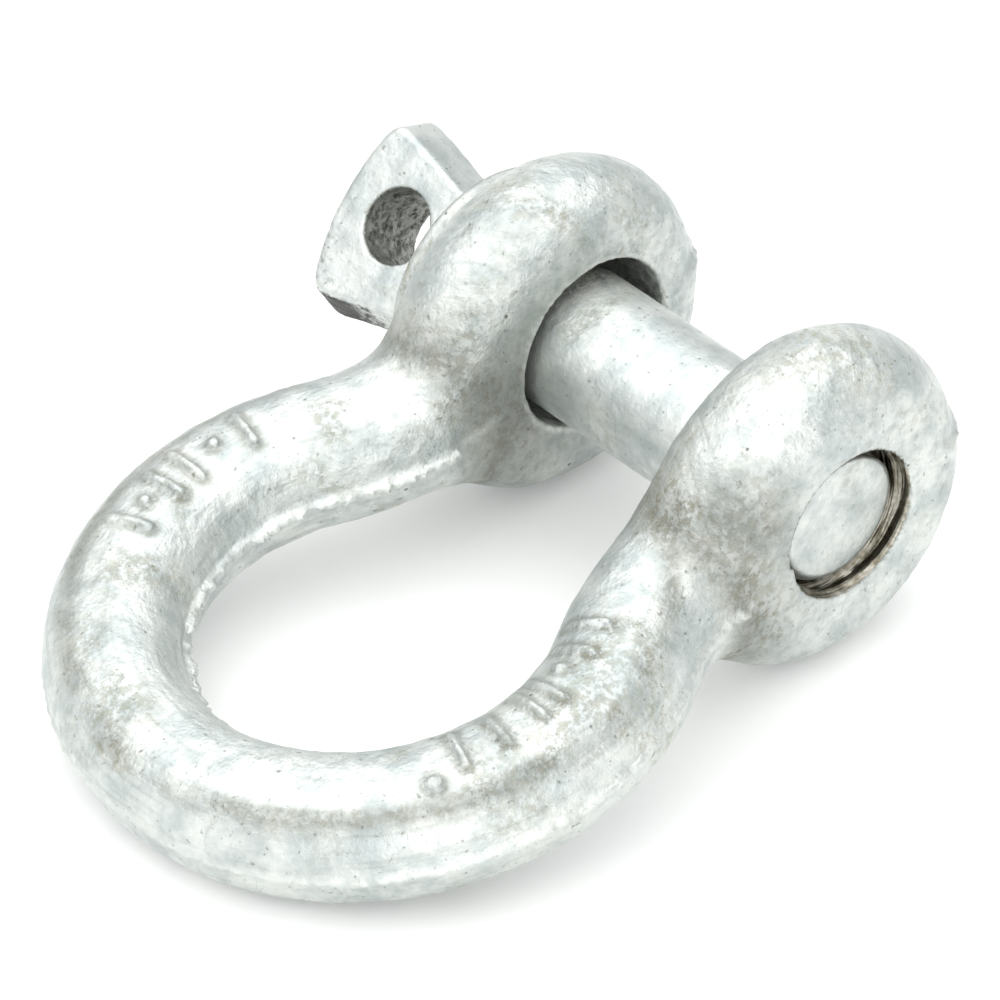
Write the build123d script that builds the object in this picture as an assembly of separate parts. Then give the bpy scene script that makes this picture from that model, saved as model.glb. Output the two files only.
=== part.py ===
# Bow (anchor) shackle with a screw pin, forged steel, hot-dip galvanised, nominal size 3/8 in.
#
# Two forgings: the bow, with an eye at each end, and the screw pin that closes it.
# Frame, in millimetres: the origin is on the pin axis, midway between the eyes. Y runs along the
# pin towards its head, the crown points to -X, and +Z is up with the shackle lying on a level
# floor, touching it with both eyes and the crown. Shapes are drawn flat, with the bow in the
# XY plane, and tilted about the pin axis at the end.
from build123d import *
from math import acos, asin, degrees, sin, sqrt
import os

# bow
bar_dia = 9.8
crown_radius = 18.3  # of the bar's centreline
neck_radius = 19.5  # centreline, where an arm curves back towards its eye
neck_start = 9.4  # how far in front of the pin axis an arm runs straight
neck_inset = 0.3  # an arm meets its eye this much nearer the jaw than mid-eye
jaw_width = 17.4
eye_dia = 25.4
eye_thickness = 9.7
eye_round = 4.2  # radius between an eye's flat faces and its rim
flare_length = 4.5  # the arm starts to widen into its eye this far before it runs straight
flare_height = 19.0  # how tall it has grown where it is lost in the eye
flare_width = 8.4

# screw pin
pin_dia = 10.9
neck_relief = 0.5  # the shank is this much thinner, on diameter, inside the plain eye
neck_lead = 0.1  # its thinner neck starts this far inside the jaw
collar_dia = 18.3
collar_thickness = 1.6
tab_length = 13.0  # from the collar to the middle of the tab's outer edge
tab_root_width = 10.2
tab_end_width = 16.2
tab_thickness = 6.7
tab_draft = 1.1  # each side leans in by this much from mid-thickness to a face
tab_end_draft = 0.65
tab_offset = 0.5  # the tab sits this far off the pin's axis
tab_end_bulge = 1.7  # the outer edge is an arc that stands out by this much
tab_corner = 2.2
tab_edge_round = 0.4
tab_angle = 129.4  # the tab's face looks this way, from +X towards +Z
hole_dia = 5.7  # for a spike or seizing wire
hole_setback = 6.3  # hole centre to the middle of the outer edge
tip_recess = 1.4  # the pin's tip lies this deep in the threaded eye
tip_chamfer = 0.7

# thread, 14 turns to the inch
thread_pitch = 25.4 / 14
thread_depth = 0.75
thread_flat = 0.25  # width of a groove's floor
run_out = 0.9  # plain groove between the shank and its thread
mouth_chamfer = 0.5  # at both ends of the threaded bore

# fits
plain_bore_clearance = 1.25  # between shank and plain eye, on radius
plain_bore_offset = 0.55  # the plain bore's centre lies this far from the pin axis, away from the crown
crest_clearance = 0.05  # between the crests of the two threads, on radius
thread_shoulder = 0.4  # the shank stops this far short of the threaded eye
seat_gap = 0.05  # under the collar
facing_margin = 0.5  # the eyes' outer faces are flat this far beyond the collar

# derived
bar_r = bar_dia / 2
pin_r = pin_dia / 2
eye_r = eye_dia / 2
eye_inner = jaw_width / 2
eye_outer = eye_inner + eye_thickness
eye_middle = eye_inner + eye_thickness / 2
arm_y = eye_middle - neck_inset
# the crown's arc and each neck's arc touch, so their centres are the two radii apart
reach = sqrt((crown_radius + neck_radius) ** 2 - (arm_y + neck_radius) ** 2)
crown_x = -(neck_start + reach)
turn = acos((arm_y + neck_radius) / (crown_radius + neck_radius))
rest_tilt = degrees(asin((eye_r - bar_r) / (crown_radius - crown_x)))
thread_r = pin_r - crest_clearance
shank_y = -eye_inner + thread_shoulder
thread_y = shank_y - run_out
neck_y = eye_inner - neck_lead
tip_y = -(eye_outer - tip_recess)
collar_y = eye_outer + seat_gap
tab_y = collar_y + collar_thickness
tab_end_y = tab_y + tab_length


def along_pin(radius, y_from, y_to, x=0.0):
    """A solid cylinder on the pin axis, or beside it at x."""
    place = Pos(x, y_from, 0) * Rot(-90, 0, 0)
    return place * Cylinder(radius, y_to - y_from, align=(Align.CENTER, Align.CENTER, Align.MIN))


def ring_grooves(crest_r, root_r, y_from, y_to):
    """V rings at the thread's pitch, one solid each, from crest_r to root_r."""
    half_mouth = (thread_pitch - thread_flat) / 2
    count = int((y_to - y_from) / thread_pitch)
    spare = (y_to - y_from - count * thread_pitch) / 2
    rings = []
    for i in range(count):
        y = y_from + spare + (i + 0.5) * thread_pitch
        mouth = [(crest_r, y - half_mouth), (crest_r, y + half_mouth)]
        floor = [(root_r, y + thread_flat / 2), (root_r, y - thread_flat / 2)]
        outline = make_face(Polyline(*mouth, *floor, close=True))
        rings.append(revolve(outline, Axis.Y))
    return rings


def mouth_cone(y):
    """The chamfer at one mouth of the threaded bore, as the solid that is cut away."""
    wide = pin_r + mouth_chamfer
    points = [(0, y - mouth_chamfer), (0, y + mouth_chamfer), (pin_r, y + mouth_chamfer)]
    points += [(wide, y), (pin_r, y - mouth_chamfer)]
    return revolve(make_face(Polyline(*points, close=True)), Axis.Y)


def centreline():
    """The bar's path, from one eye's centre round the crown to the other's."""
    touch_x = crown_x + crown_radius * sin(turn)
    touch_y = crown_radius * (arm_y + neck_radius) / (crown_radius + neck_radius)
    neck_mid_x = -neck_start - neck_radius * sin(turn / 2)
    neck_mid_y = arm_y + neck_radius - sqrt(neck_radius**2 - (neck_radius * sin(turn / 2)) ** 2)
    near_end = Line((0, -arm_y), (-neck_start, -arm_y))
    near_neck = ThreePointArc((-neck_start, -arm_y), (neck_mid_x, -neck_mid_y), (touch_x, -touch_y))
    crown = ThreePointArc((touch_x, -touch_y), (crown_x - crown_radius, 0), (touch_x, touch_y))
    far_neck = ThreePointArc((touch_x, touch_y), (neck_mid_x, neck_mid_y), (-neck_start, arm_y))
    far_end = Line((-neck_start, arm_y), (0, arm_y))
    return Wire([*near_end.edges(), *near_neck.edges(), *crown.edges(), *far_neck.edges(), *far_end.edges()])


def flare(side):
    """The stretch where an arm widens into its eye; side is 1 or -1."""
    start_x = -(neck_start + flare_length)
    start_y = arm_y + neck_radius - sqrt(neck_radius**2 - flare_length**2)
    start = Plane((start_x, side * start_y, 0), x_dir=(0, 1, 0), z_dir=(1, 0, 0))
    end = Plane((-eye_r / 3, side * arm_y, 0), x_dir=(0, 1, 0), z_dir=(1, 0, 0))
    # the start is a little inside the bar, so that the two skins cross
    return loft([start * Circle(bar_r * 0.94), end * Ellipse(flare_width / 2, flare_height / 2)])


def eye(y_from):
    """A thick disc with well rounded rims, its faces square to the pin."""
    disc = along_pin(eye_r, y_from, y_from + eye_thickness)
    rims = disc.edges().filter_by(GeomType.CIRCLE)
    return fillet(rims, min(eye_round, 0.45 * eye_thickness))


def bow():
    bar = sweep(Plane((0, -arm_y, 0), z_dir=(-1, 0, 0)) * Circle(bar_r), path=centreline())
    body = bar + flare(-1) + flare(1) + eye(-eye_outer) + eye(eye_inner)
    # both eyes are faced flat, inside the jaw and where the collar seats
    body -= along_pin(eye_r, -eye_inner, eye_inner)
    body -= along_pin(collar_dia / 2 + facing_margin, eye_outer, eye_outer + bar_dia)
    body -= along_pin(collar_dia / 2 + facing_margin, -eye_outer - bar_dia, -eye_outer)
    plain_r = pin_r + plain_bore_clearance
    body -= along_pin(plain_r, eye_inner - 1, eye_outer + 1, plain_bore_offset)
    body -= along_pin(thread_r + crest_clearance, -eye_outer - 1, -eye_inner + 1)
    for ring in ring_grooves(pin_r - 0.01, pin_r + thread_depth, -eye_outer, -eye_inner):
        body -= ring
    for y in (-eye_outer, -eye_inner):
        body -= mouth_cone(y)
    return body


def tab_outline(inset, end_inset, z):
    """The tab's outline, drawn in from its widest by inset at the sides, at the height z."""
    half_root = tab_root_width / 2 - inset
    half_end = tab_end_width / 2 - inset
    end_y = tab_end_y - end_inset
    corner_y = end_y - tab_end_bulge
    left = Line((-half_root, collar_y + 0.1), (-half_end, corner_y))
    end = ThreePointArc((-half_end, corner_y), (0, end_y), (half_end, corner_y))
    right = Line((half_end, corner_y), (half_root, collar_y + 0.1))
    root = Line((half_root, collar_y + 0.1), (-half_root, collar_y + 0.1))
    outline = make_face([*left.edges(), *end.edges(), *right.edges(), *root.edges()])
    corners = outline.vertices().filter_by(lambda v: v.Y > tab_y)
    return Pos(-tab_offset, 0, z) * fillet(corners, tab_corner)


def tab():
    """The flat head, drawn in the XY plane with its faces towards +Z and -Z."""
    half = loft([tab_outline(0, 0, 0), tab_outline(tab_draft, tab_end_draft, tab_thickness / 2)], ruled=True)
    rim = half.edges().filter_by(lambda e: abs(e.center().Z - tab_thickness / 2) < 0.01)
    half = fillet(rim.filter_by(lambda e: e.center().Y > tab_y), tab_edge_round)
    plate = half + mirror(half, Plane.XY)
    hole = Pos(0, tab_end_y - hole_setback, 0) * Cylinder(hole_dia / 2, tab_thickness * 2)
    return plate - hole


def screw_pin():
    shank = along_pin(pin_r, shank_y, neck_y)
    neck = along_pin(pin_r - neck_relief / 2, neck_y, collar_y)
    groove = along_pin(thread_r - thread_depth, thread_y, shank_y)
    thread = along_pin(thread_r, tip_y, thread_y)
    tip_edge = thread.edges().filter_by(GeomType.CIRCLE).sort_by(Axis.Y)[0]
    thread = chamfer(tip_edge, tip_chamfer)
    for ring in ring_grooves(thread_r + 0.01, thread_r - thread_depth, tip_y + tip_chamfer, thread_y):
        thread -= ring
    collar = along_pin(collar_dia / 2, collar_y, tab_y)
    collar_edges = collar.edges().filter_by(GeomType.CIRCLE)
    collar = fillet(collar_edges, collar_thickness * 0.35)
    # turning the tab's normal from +Z to tab_angle, measured from +X towards +Z
    head = Rot(0, 90 - tab_angle, 0) * tab()
    return shank + neck + groove + thread + collar + head


def write(node, solid):
    laid = Rot(0, -rest_tilt, 0) * solid
    laid.label = node
    export_step(laid, f"parts/{node}.step")


os.makedirs("parts", exist_ok=True)
write("bow", bow())
write("screw_pin", screw_pin())
print(f"rest tilt {rest_tilt:.2f} deg, floor at z {-eye_r:.2f}, crown arc centre x {crown_x:.2f}")
print(f"inside length {crown_radius - crown_x - bar_r - pin_r:.2f}, inside width {2 * crown_radius - bar_dia:.2f}")
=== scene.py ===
import math

import bpy
from mathutils import Matrix, Vector


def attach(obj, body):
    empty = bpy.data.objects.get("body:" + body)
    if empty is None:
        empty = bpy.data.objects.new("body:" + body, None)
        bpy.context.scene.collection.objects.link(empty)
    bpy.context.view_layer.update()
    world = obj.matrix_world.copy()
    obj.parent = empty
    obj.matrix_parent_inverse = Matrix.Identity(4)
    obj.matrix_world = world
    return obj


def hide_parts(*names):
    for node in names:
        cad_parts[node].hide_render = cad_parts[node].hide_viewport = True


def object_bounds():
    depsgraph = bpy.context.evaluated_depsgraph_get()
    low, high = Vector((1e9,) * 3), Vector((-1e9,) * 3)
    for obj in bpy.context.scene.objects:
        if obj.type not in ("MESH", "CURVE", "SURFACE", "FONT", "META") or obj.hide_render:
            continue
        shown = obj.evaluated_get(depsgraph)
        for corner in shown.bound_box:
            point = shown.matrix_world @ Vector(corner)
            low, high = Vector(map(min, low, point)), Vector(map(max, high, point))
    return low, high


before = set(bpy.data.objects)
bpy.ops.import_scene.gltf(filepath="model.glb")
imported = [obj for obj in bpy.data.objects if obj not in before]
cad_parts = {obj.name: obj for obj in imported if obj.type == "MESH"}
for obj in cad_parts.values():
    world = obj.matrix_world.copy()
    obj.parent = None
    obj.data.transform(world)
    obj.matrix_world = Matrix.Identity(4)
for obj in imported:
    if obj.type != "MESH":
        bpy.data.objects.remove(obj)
cadLow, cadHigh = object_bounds()

# shapes are drawn in millimetres, the bow flat and the pin along Y, then laid on the eyes and the crown
restTilt = 9.64


# an input takes a value, a socket, or a node, which stands for its first output in use
def addNode(tree, kind, inputs=None, **settings):
    node = tree.nodes.new(kind)
    for name, value in settings.items():
        setattr(node, name, value)
    for key, value in (inputs or {}).items():
        if isinstance(value, bpy.types.Node):
            value = next(s for s in value.outputs if s.enabled)
        if isinstance(value, bpy.types.NodeSocket):
            tree.links.new(value, node.inputs[key])
        else:
            node.inputs[key].default_value = value
    return node


def newTree(name, values):
    tree = bpy.data.node_groups.new(name, "GeometryNodeTree")
    kinds = {int: "NodeSocketInt", float: "NodeSocketFloat", tuple: "NodeSocketVector"}
    tree.interface.new_socket("Geometry", in_out="INPUT", socket_type="NodeSocketGeometry")
    tree.interface.new_socket("Geometry", in_out="OUTPUT", socket_type="NodeSocketGeometry")
    for key, value in values.items():
        kind = kinds.get(type(value), "NodeSocketMaterial")
        tree.interface.new_socket(key, in_out="INPUT", socket_type=kind)
    return tree, tree.nodes.new("NodeGroupInput").outputs, tree.nodes.new("NodeGroupOutput").inputs


def runTree(tree, values, mesh, name):
    host = bpy.data.objects.new(name + "Host", mesh)
    bpy.context.scene.collection.objects.link(host)
    modifier = host.modifiers.new(tree.name, "NODES")
    modifier.node_group = tree
    for item in tree.interface.items_tree:
        if item.in_out == "INPUT" and item.name in values:
            modifier[item.identifier] = values[item.name]
    bpy.context.view_layer.update()
    evaluated = host.evaluated_get(bpy.context.evaluated_depsgraph_get())
    made = bpy.data.meshes.new_from_object(evaluated)
    bpy.data.objects.remove(host)
    made.name = name
    piece = bpy.data.objects.new(name, made)
    bpy.context.scene.collection.objects.link(piece)
    return piece


# a mesh round everything where the distance to the surface is below zero
def skinAround(tree, given, distance):
    density = addNode(tree, "ShaderNodeMath", {0: 0.5, 1: distance}, operation="SUBTRACT")
    cube = addNode(tree, "GeometryNodeVolumeCube",
                   {"Density": density, "Background": -2.0, "Min": given["Low"], "Max": given["High"],
                    "Resolution X": given["Cells X"], "Resolution Y": given["Cells Y"],
                    "Resolution Z": given["Cells Z"]})
    skin = addNode(tree, "GeometryNodeVolumeToMesh", {"Volume": cube, "Threshold": 0.5, "Adaptivity": 0.0})
    # any crumb that came loose from the rest is dropped
    island = addNode(tree, "GeometryNodeInputMeshIsland").outputs["Island Index"]
    islandPoints = addNode(tree, "GeometryNodeAccumulateField", {"Value": 1.0, "Group ID": island})
    crumb = addNode(tree, "FunctionNodeCompare", {0: islandPoints.outputs["Total"], 1: 1000.0},
                    operation="LESS_THAN")
    return addNode(tree, "GeometryNodeDeleteGeometry", {"Geometry": skin, "Selection": crumb})


# a helix round the pin's axis, from 0 up to 0.5 and back in each pitch
def threadWave(tree, given, xyz):
    angle = addNode(tree, "ShaderNodeMath", {0: xyz["Z"], 1: xyz["X"]}, operation="ARCTAN2")
    lead = addNode(tree, "ShaderNodeMath", {0: angle, 1: 2 * math.pi}, operation="DIVIDE")
    rows = addNode(tree, "ShaderNodeMath", {0: xyz["Y"], 1: given["Pitch"]}, operation="DIVIDE")
    phase = addNode(tree, "ShaderNodeMath", {0: rows, 1: lead}, operation="ADD")
    phase = addNode(tree, "ShaderNodeMath", {0: phase}, operation="FRACT")
    return addNode(tree, "ShaderNodeMath", {0: phase, 1: 0.5}, operation="PINGPONG")


# raises the zinc's lumps, stores what the materials read, lays the piece down and coats it
def finishTree(tree, given, out, skin, rise, fields):
    normal = addNode(tree, "GeometryNodeInputNormal")
    offset = addNode(tree, "ShaderNodeVectorMath", {0: normal, "Scale": rise}, operation="SCALE")
    geometry = addNode(tree, "GeometryNodeSetPosition", {"Geometry": skin, "Offset": offset})
    for name, field in fields.items():
        kind = "FLOAT_VECTOR" if name == "alongBar" else "FLOAT"
        geometry = addNode(tree, "GeometryNodeStoreNamedAttribute",
                           {"Geometry": geometry, "Name": name, "Value": field}, data_type=kind)
    laid = addNode(tree, "GeometryNodeTransform",
                   {"Geometry": geometry, "Rotation": given["Tilt"], "Scale": (0.001, 0.001, 0.001)})
    smooth = addNode(tree, "GeometryNodeSetShadeSmooth", {0: laid})
    real = addNode(tree, "GeometryNodeRealizeInstances", {0: smooth})
    coated = addNode(tree, "GeometryNodeSetMaterial", {"Geometry": real, "Material": given["Zinc"]})
    bareFaces = addNode(tree, "GeometryNodeInputNamedAttribute", {"Name": "bare"}, data_type="FLOAT")
    isBare = addNode(tree, "FunctionNodeCompare", {0: bareFaces, 1: 0.5}, operation="GREATER_THAN")
    cut = addNode(tree, "GeometryNodeSetMaterial",
                  {"Geometry": coated, "Selection": isBare, "Material": given["Thread Steel"]})
    tree.links.new(cut.outputs[0], out["Geometry"])


def hexColour(text):
    parts = [int(text[i:i + 2], 16) / 255 for i in (1, 3, 5)]
    return tuple(c / 12.92 if c < 0.04045 else ((c + 0.055) / 1.055) ** 2.4 for c in parts) + (1.0,)


# materials

# Hot-dip galvanised zinc over a drop forging: pale, cool and satin, with a soft broken
# highlight, cloudy patches, drawn-out streaks and fine cracks across the bar, olive weather
# stains in the hollows and scattered pinholes, painted shade in the bores, holes and creases,
# a painted highlight on the flash rib and the plain bore's lip, and soot.
zincLook = {
    "pale": "#d8dbd8",
    "cool": "#b9c0bf",
    "stain": "#8f8966",
    # grey for the streaks and cracks, and for painted shade with dirt
    "markAndShadeGrey": "#74746b",
    "pinhole": "#6a675b",
    # a painted highlight on the flash rib and the plain bore's lip
    "paintedHighlight": "#dcdeda",
    # soot, and painted shade in the tab's hole
    "sootAndHoleShade": "#3c3d39",
    "roughness": 0.53,
    "cloudMm": 3.5,
    "mottleMm": 1.1,
    "stainMm": 8.0,
    "streaks": 0.2,
    "cracks": 0.16,
    "pinholeMm": 1.9,
    "speckMm": 0.5,
    "lumpMm": 1.3,
    "lumpHeight": 0.2,
    "grainMm": 0.34,
    "grainHeight": 0.07,
}


def zincMaterial(name, look):
    material = bpy.data.materials.new(name)
    material.use_nodes = True
    tree = material.node_tree
    shader = tree.nodes["Principled BSDF"]
    shader.inputs["Metallic"].default_value = 1.0

    place = addNode(tree, "ShaderNodeTexCoord").outputs["Object"]
    mm = addNode(tree, "ShaderNodeMapping", {"Vector": place, "Scale": (1000, 1000, 1000)})
    # painted shade with dirt, as the forgings stored it
    shadeAndDirt = addNode(tree, "ShaderNodeAttribute", attribute_name="shadeAndDirt").outputs["Fac"]
    # painted highlight on the flash rib and the plain bore's lip
    flashHighlight = addNode(tree, "ShaderNodeAttribute", attribute_name="flashHighlight").outputs["Fac"]
    sootAndHoleShade = addNode(tree, "ShaderNodeAttribute", attribute_name="sootAndHoleShade").outputs["Fac"]

    # clouds of paler and cooler zinc, and the finer mottle in them
    clouds = addNode(tree, "ShaderNodeTexNoise",
                     {"Vector": mm, "Scale": 1 / look["cloudMm"], "Detail": 5.0, "Roughness": 0.6})
    cloudy = addNode(tree, "ShaderNodeMapRange", {"Value": clouds, "From Min": 0.36, "From Max": 0.62})
    mottle = addNode(tree, "ShaderNodeTexNoise",
                     {"Vector": mm, "Scale": 1 / look["mottleMm"], "Detail": 6.0, "Roughness": 0.65})
    mottled = addNode(tree, "ShaderNodeMapRange",
                      {"Value": mottle, "From Min": 0.3, "From Max": 0.7,
                       "To Min": -0.3, "To Max": 0.3})
    tone = addNode(tree, "ShaderNodeMath", {0: cloudy, 1: mottled}, operation="ADD", use_clamp=True)
    colour = addNode(tree, "ShaderNodeMix",
                     {"Factor": tone, "A": hexColour(look["cool"]), "B": hexColour(look["pale"])},
                     data_type="RGBA")

    # streaks drawn out along the bar, and fine cracks across it where the crown was bent
    alongBar = addNode(tree, "ShaderNodeAttribute", attribute_name="alongBar").outputs["Vector"]
    drawn = addNode(tree, "ShaderNodeMapping", {"Vector": alongBar, "Scale": (0.13, 1.5, 1.5)})
    streaks = addNode(tree, "ShaderNodeTexNoise", {"Vector": drawn, "Scale": 1.0, "Detail": 4.0})
    streak = addNode(tree, "ShaderNodeMapRange",
                     {"Value": streaks, "From Min": 0.52, "From Max": 0.68, "To Max": look["streaks"]})
    ringed = addNode(tree, "ShaderNodeMapping", {"Vector": alongBar, "Scale": (0.25, 0.05, 0.05)})
    rings = addNode(tree, "ShaderNodeTexNoise",
                    {"Vector": ringed, "Scale": 1.0, "Detail": 3.0, "Roughness": 0.6})
    offMiddle = addNode(tree, "ShaderNodeMath", {0: rings, 1: 0.5}, operation="SUBTRACT")
    offMiddle = addNode(tree, "ShaderNodeMath", {0: offMiddle}, operation="ABSOLUTE")
    crack = addNode(tree, "ShaderNodeMapRange", {"Value": offMiddle, "From Min": 0.009, "From Max": 0.002})
    crackPatch = addNode(tree, "ShaderNodeMapRange",
                         {"Value": clouds, "From Min": 0.50, "From Max": 0.58})
    crack = addNode(tree, "ShaderNodeMath", {0: crack, 1: crackPatch}, operation="MULTIPLY")
    howFar = addNode(tree, "ShaderNodeSeparateXYZ", {0: alongBar}).outputs["X"]
    howFar = addNode(tree, "ShaderNodeMath", {0: howFar}, operation="ABSOLUTE")
    nearCrown = addNode(tree, "ShaderNodeMapRange",
                        {"Value": howFar, "From Min": 28.0, "From Max": 22.0, "To Max": look["cracks"]})
    crack = addNode(tree, "ShaderNodeMath", {0: crack, 1: nearCrown}, operation="MULTIPLY")
    marked = addNode(tree, "ShaderNodeMath", {0: streak, 1: crack}, operation="MAXIMUM")

    # olive stains, where a broad patch and a fine one agree, and thicker where the mask of painted shade and
    # dirt is high
    patch = addNode(tree, "ShaderNodeTexNoise",
                    {"Vector": mm, "Scale": 1 / look["stainMm"], "Detail": 2.0, "Distortion": 0.6})
    broad = addNode(tree, "ShaderNodeMapRange",
                    {"Value": patch, "From Min": 0.54, "From Max": 0.68, "To Max": 0.62})
    broad = addNode(tree, "ShaderNodeMath", {0: shadeAndDirt, 1: 0.6, 2: broad},
                    operation="MULTIPLY_ADD", use_clamp=True)
    speck = addNode(tree, "ShaderNodeTexNoise",
                    {"Vector": mm, "Scale": 1.6 / look["mottleMm"], "Detail": 8.0, "Roughness": 0.75})
    fine = addNode(tree, "ShaderNodeMapRange", {"Value": speck, "From Min": 0.47, "From Max": 0.57})
    stained = addNode(tree, "ShaderNodeMath", {0: broad, 1: fine}, operation="MULTIPLY")
    stainAmount = addNode(tree, "ShaderNodeMath", {0: stained, 1: 0.54}, operation="MULTIPLY")

    # painted shade on the bore walls, in the tab's hole, round the tab's root and on the shank inside the
    # eye, with dirt on the crown, laid on in grey
    shadeAndDirtAmount = addNode(tree, "ShaderNodeMath", {0: shadeAndDirt, 1: 0.6}, operation="MULTIPLY")

    # pinholes, a few in each square centimetre
    cellsNode = addNode(tree, "ShaderNodeTexVoronoi",
                        {"Vector": mm, "Scale": 1 / look["pinholeMm"], "Randomness": 1.0})
    chance = addNode(tree, "ShaderNodeSeparateColor", {"Color": cellsNode.outputs["Color"]})
    size = addNode(tree, "ShaderNodeMapRange",
                   {"Value": chance.outputs["Red"], "From Min": 0.45, "From Max": 1.0,
                    "To Min": 0.0, "To Max": 0.085})
    pinhole = addNode(tree, "ShaderNodeMath", {0: size, 1: cellsNode.outputs["Distance"]},
                      operation="SUBTRACT")
    pinhole = addNode(tree, "ShaderNodeMapRange",
                      {"Value": pinhole, "From Min": -0.015, "From Max": 0.02})
    specks = addNode(tree, "ShaderNodeTexNoise",
                     {"Vector": mm, "Scale": 1 / look["speckMm"], "Detail": 2.0, "Roughness": 0.5})
    dark = addNode(tree, "ShaderNodeMapRange",
                   {"Value": specks, "From Min": 0.66, "From Max": 0.74, "To Max": 0.55})
    pinholeDirt = addNode(tree, "ShaderNodeMath", {0: pinhole, 1: 0.8}, operation="MULTIPLY")
    pinholeDirt = addNode(tree, "ShaderNodeMath", {0: pinholeDirt, 1: dark}, operation="MAXIMUM")

    # sooty where a tool has rubbed, and painted shade inside the tab's hole in the same dark colour
    sootEdge = addNode(tree, "ShaderNodeMath", {0: speck, 1: 0.5}, operation="SUBTRACT")
    sootAndShadeAmount = addNode(tree, "ShaderNodeMath", {0: sootEdge, 1: 2.2, 2: sootAndHoleShade}, operation="MULTIPLY_ADD")
    sootAndShadeAmount = addNode(tree, "ShaderNodeMapRange", {"Value": sootAndShadeAmount, "From Min": 0.3, "From Max": 0.75})

    # each layer of colour lies over the one before it; the grey layer also carries painted shade, one layer
    # is a painted highlight on the flash, and the soot layer also carries painted shade in the tab's hole
    for amount, layer in ((marked, "markAndShadeGrey"), (stainAmount, "stain"), (shadeAndDirtAmount, "markAndShadeGrey"),
                          (pinholeDirt, "pinhole"), (flashHighlight, "paintedHighlight"), (sootAndShadeAmount, "sootAndHoleShade")):
        colour = addNode(tree, "ShaderNodeMix",
                         {"Factor": amount, "A": colour, "B": hexColour(look[layer])}, data_type="RGBA")
    tree.links.new(colour.outputs["Result"], shader.inputs["Base Color"])

    # satin, duller where it is stained
    rough = addNode(tree, "ShaderNodeMath", {0: stained, 1: 0.22, 2: look["roughness"]},
                    operation="MULTIPLY_ADD")
    rough = addNode(tree, "ShaderNodeMath", {0: mottled, 1: -0.16, 2: rough}, operation="MULTIPLY_ADD")
    tree.links.new(rough.outputs[0], shader.inputs["Roughness"])

    # the relief, added up in millimetres
    lumps = addNode(tree, "ShaderNodeTexNoise",
                    {"Vector": mm, "Scale": 1 / look["lumpMm"], "Detail": 4.0, "Roughness": 0.55})
    grain = addNode(tree, "ShaderNodeTexNoise",
                    {"Vector": mm, "Scale": 1 / look["grainMm"], "Detail": 3.0, "Roughness": 0.6})
    relief = addNode(tree, "ShaderNodeMath", {0: lumps, 1: look["lumpHeight"]}, operation="MULTIPLY")
    relief = addNode(tree, "ShaderNodeMath", {0: grain, 1: look["grainHeight"], 2: relief},
                     operation="MULTIPLY_ADD")
    relief = addNode(tree, "ShaderNodeMath", {0: pinhole, 1: -0.06, 2: relief}, operation="MULTIPLY_ADD")
    relief = addNode(tree, "ShaderNodeMath", {0: marked, 1: -0.07, 2: relief}, operation="MULTIPLY_ADD")
    relief = addNode(tree, "ShaderNodeMath", {0: stained, 1: -0.03, 2: relief}, operation="MULTIPLY_ADD")
    bump = addNode(tree, "ShaderNodeBump", {"Height": relief, "Distance": 0.001, "Strength": 1.0})
    tree.links.new(bump.outputs["Normal"], shader.inputs["Normal"])
    return material


# Bare cut thread steel: darker than the zinc round it, oily brown in patches, with fine
# tool marks round the axis.
threadLook = {
    "cut": "#b5b1a6",
    "oily": "#767060",
    "roughness": 0.38,
    "toolMarkMm": 0.3,  # coarser than a real tap leaves, so that it shows
}


def threadMaterial(name, look):
    material = bpy.data.materials.new(name)
    material.use_nodes = True
    tree = material.node_tree
    shader = tree.nodes["Principled BSDF"]
    shader.inputs["Metallic"].default_value = 1.0
    shader.inputs["Roughness"].default_value = look["roughness"]
    place = addNode(tree, "ShaderNodeTexCoord").outputs["Object"]
    mm = addNode(tree, "ShaderNodeMapping", {"Vector": place, "Scale": (1000, 1000, 1000)})
    oil = addNode(tree, "ShaderNodeTexNoise", {"Vector": mm, "Scale": 0.9, "Detail": 6.0, "Roughness": 0.7})
    oily = addNode(tree, "ShaderNodeMapRange", {"Value": oil, "From Min": 0.38, "From Max": 0.6})
    colour = addNode(tree, "ShaderNodeMix",
                     {"Factor": oily, "A": hexColour(look["cut"]), "B": hexColour(look["oily"])},
                     data_type="RGBA")
    tree.links.new(colour.outputs["Result"], shader.inputs["Base Color"])
    rings = addNode(tree, "ShaderNodeMapping",
                    {"Vector": place, "Scale": (200, 1000 / look["toolMarkMm"], 200)})
    marks = addNode(tree, "ShaderNodeTexNoise", {"Vector": rings, "Scale": 1.0, "Detail": 2.0})
    height = addNode(tree, "ShaderNodeMath", {0: marks, 1: 0.22}, operation="MULTIPLY")
    bump = addNode(tree, "ShaderNodeBump", {"Height": height, "Distance": 0.001})
    tree.links.new(bump.outputs["Normal"], shader.inputs["Normal"])
    return material


zinc = zincMaterial("hotDipZincOnForging", zincLook)
# the pin was turned before it was dipped, so its zinc lies smoother
pinLook = dict(zincLook, lumpHeight=0.07, grainHeight=0.03, streaks=0.08, cracks=0.0, roughness=0.48)
pinZinc = zincMaterial("hotDipZincOnTurnedPin", pinLook)
cutSteel = threadMaterial("bareCutThreadSteel", threadLook)
print("materials made")

# bow forging

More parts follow.
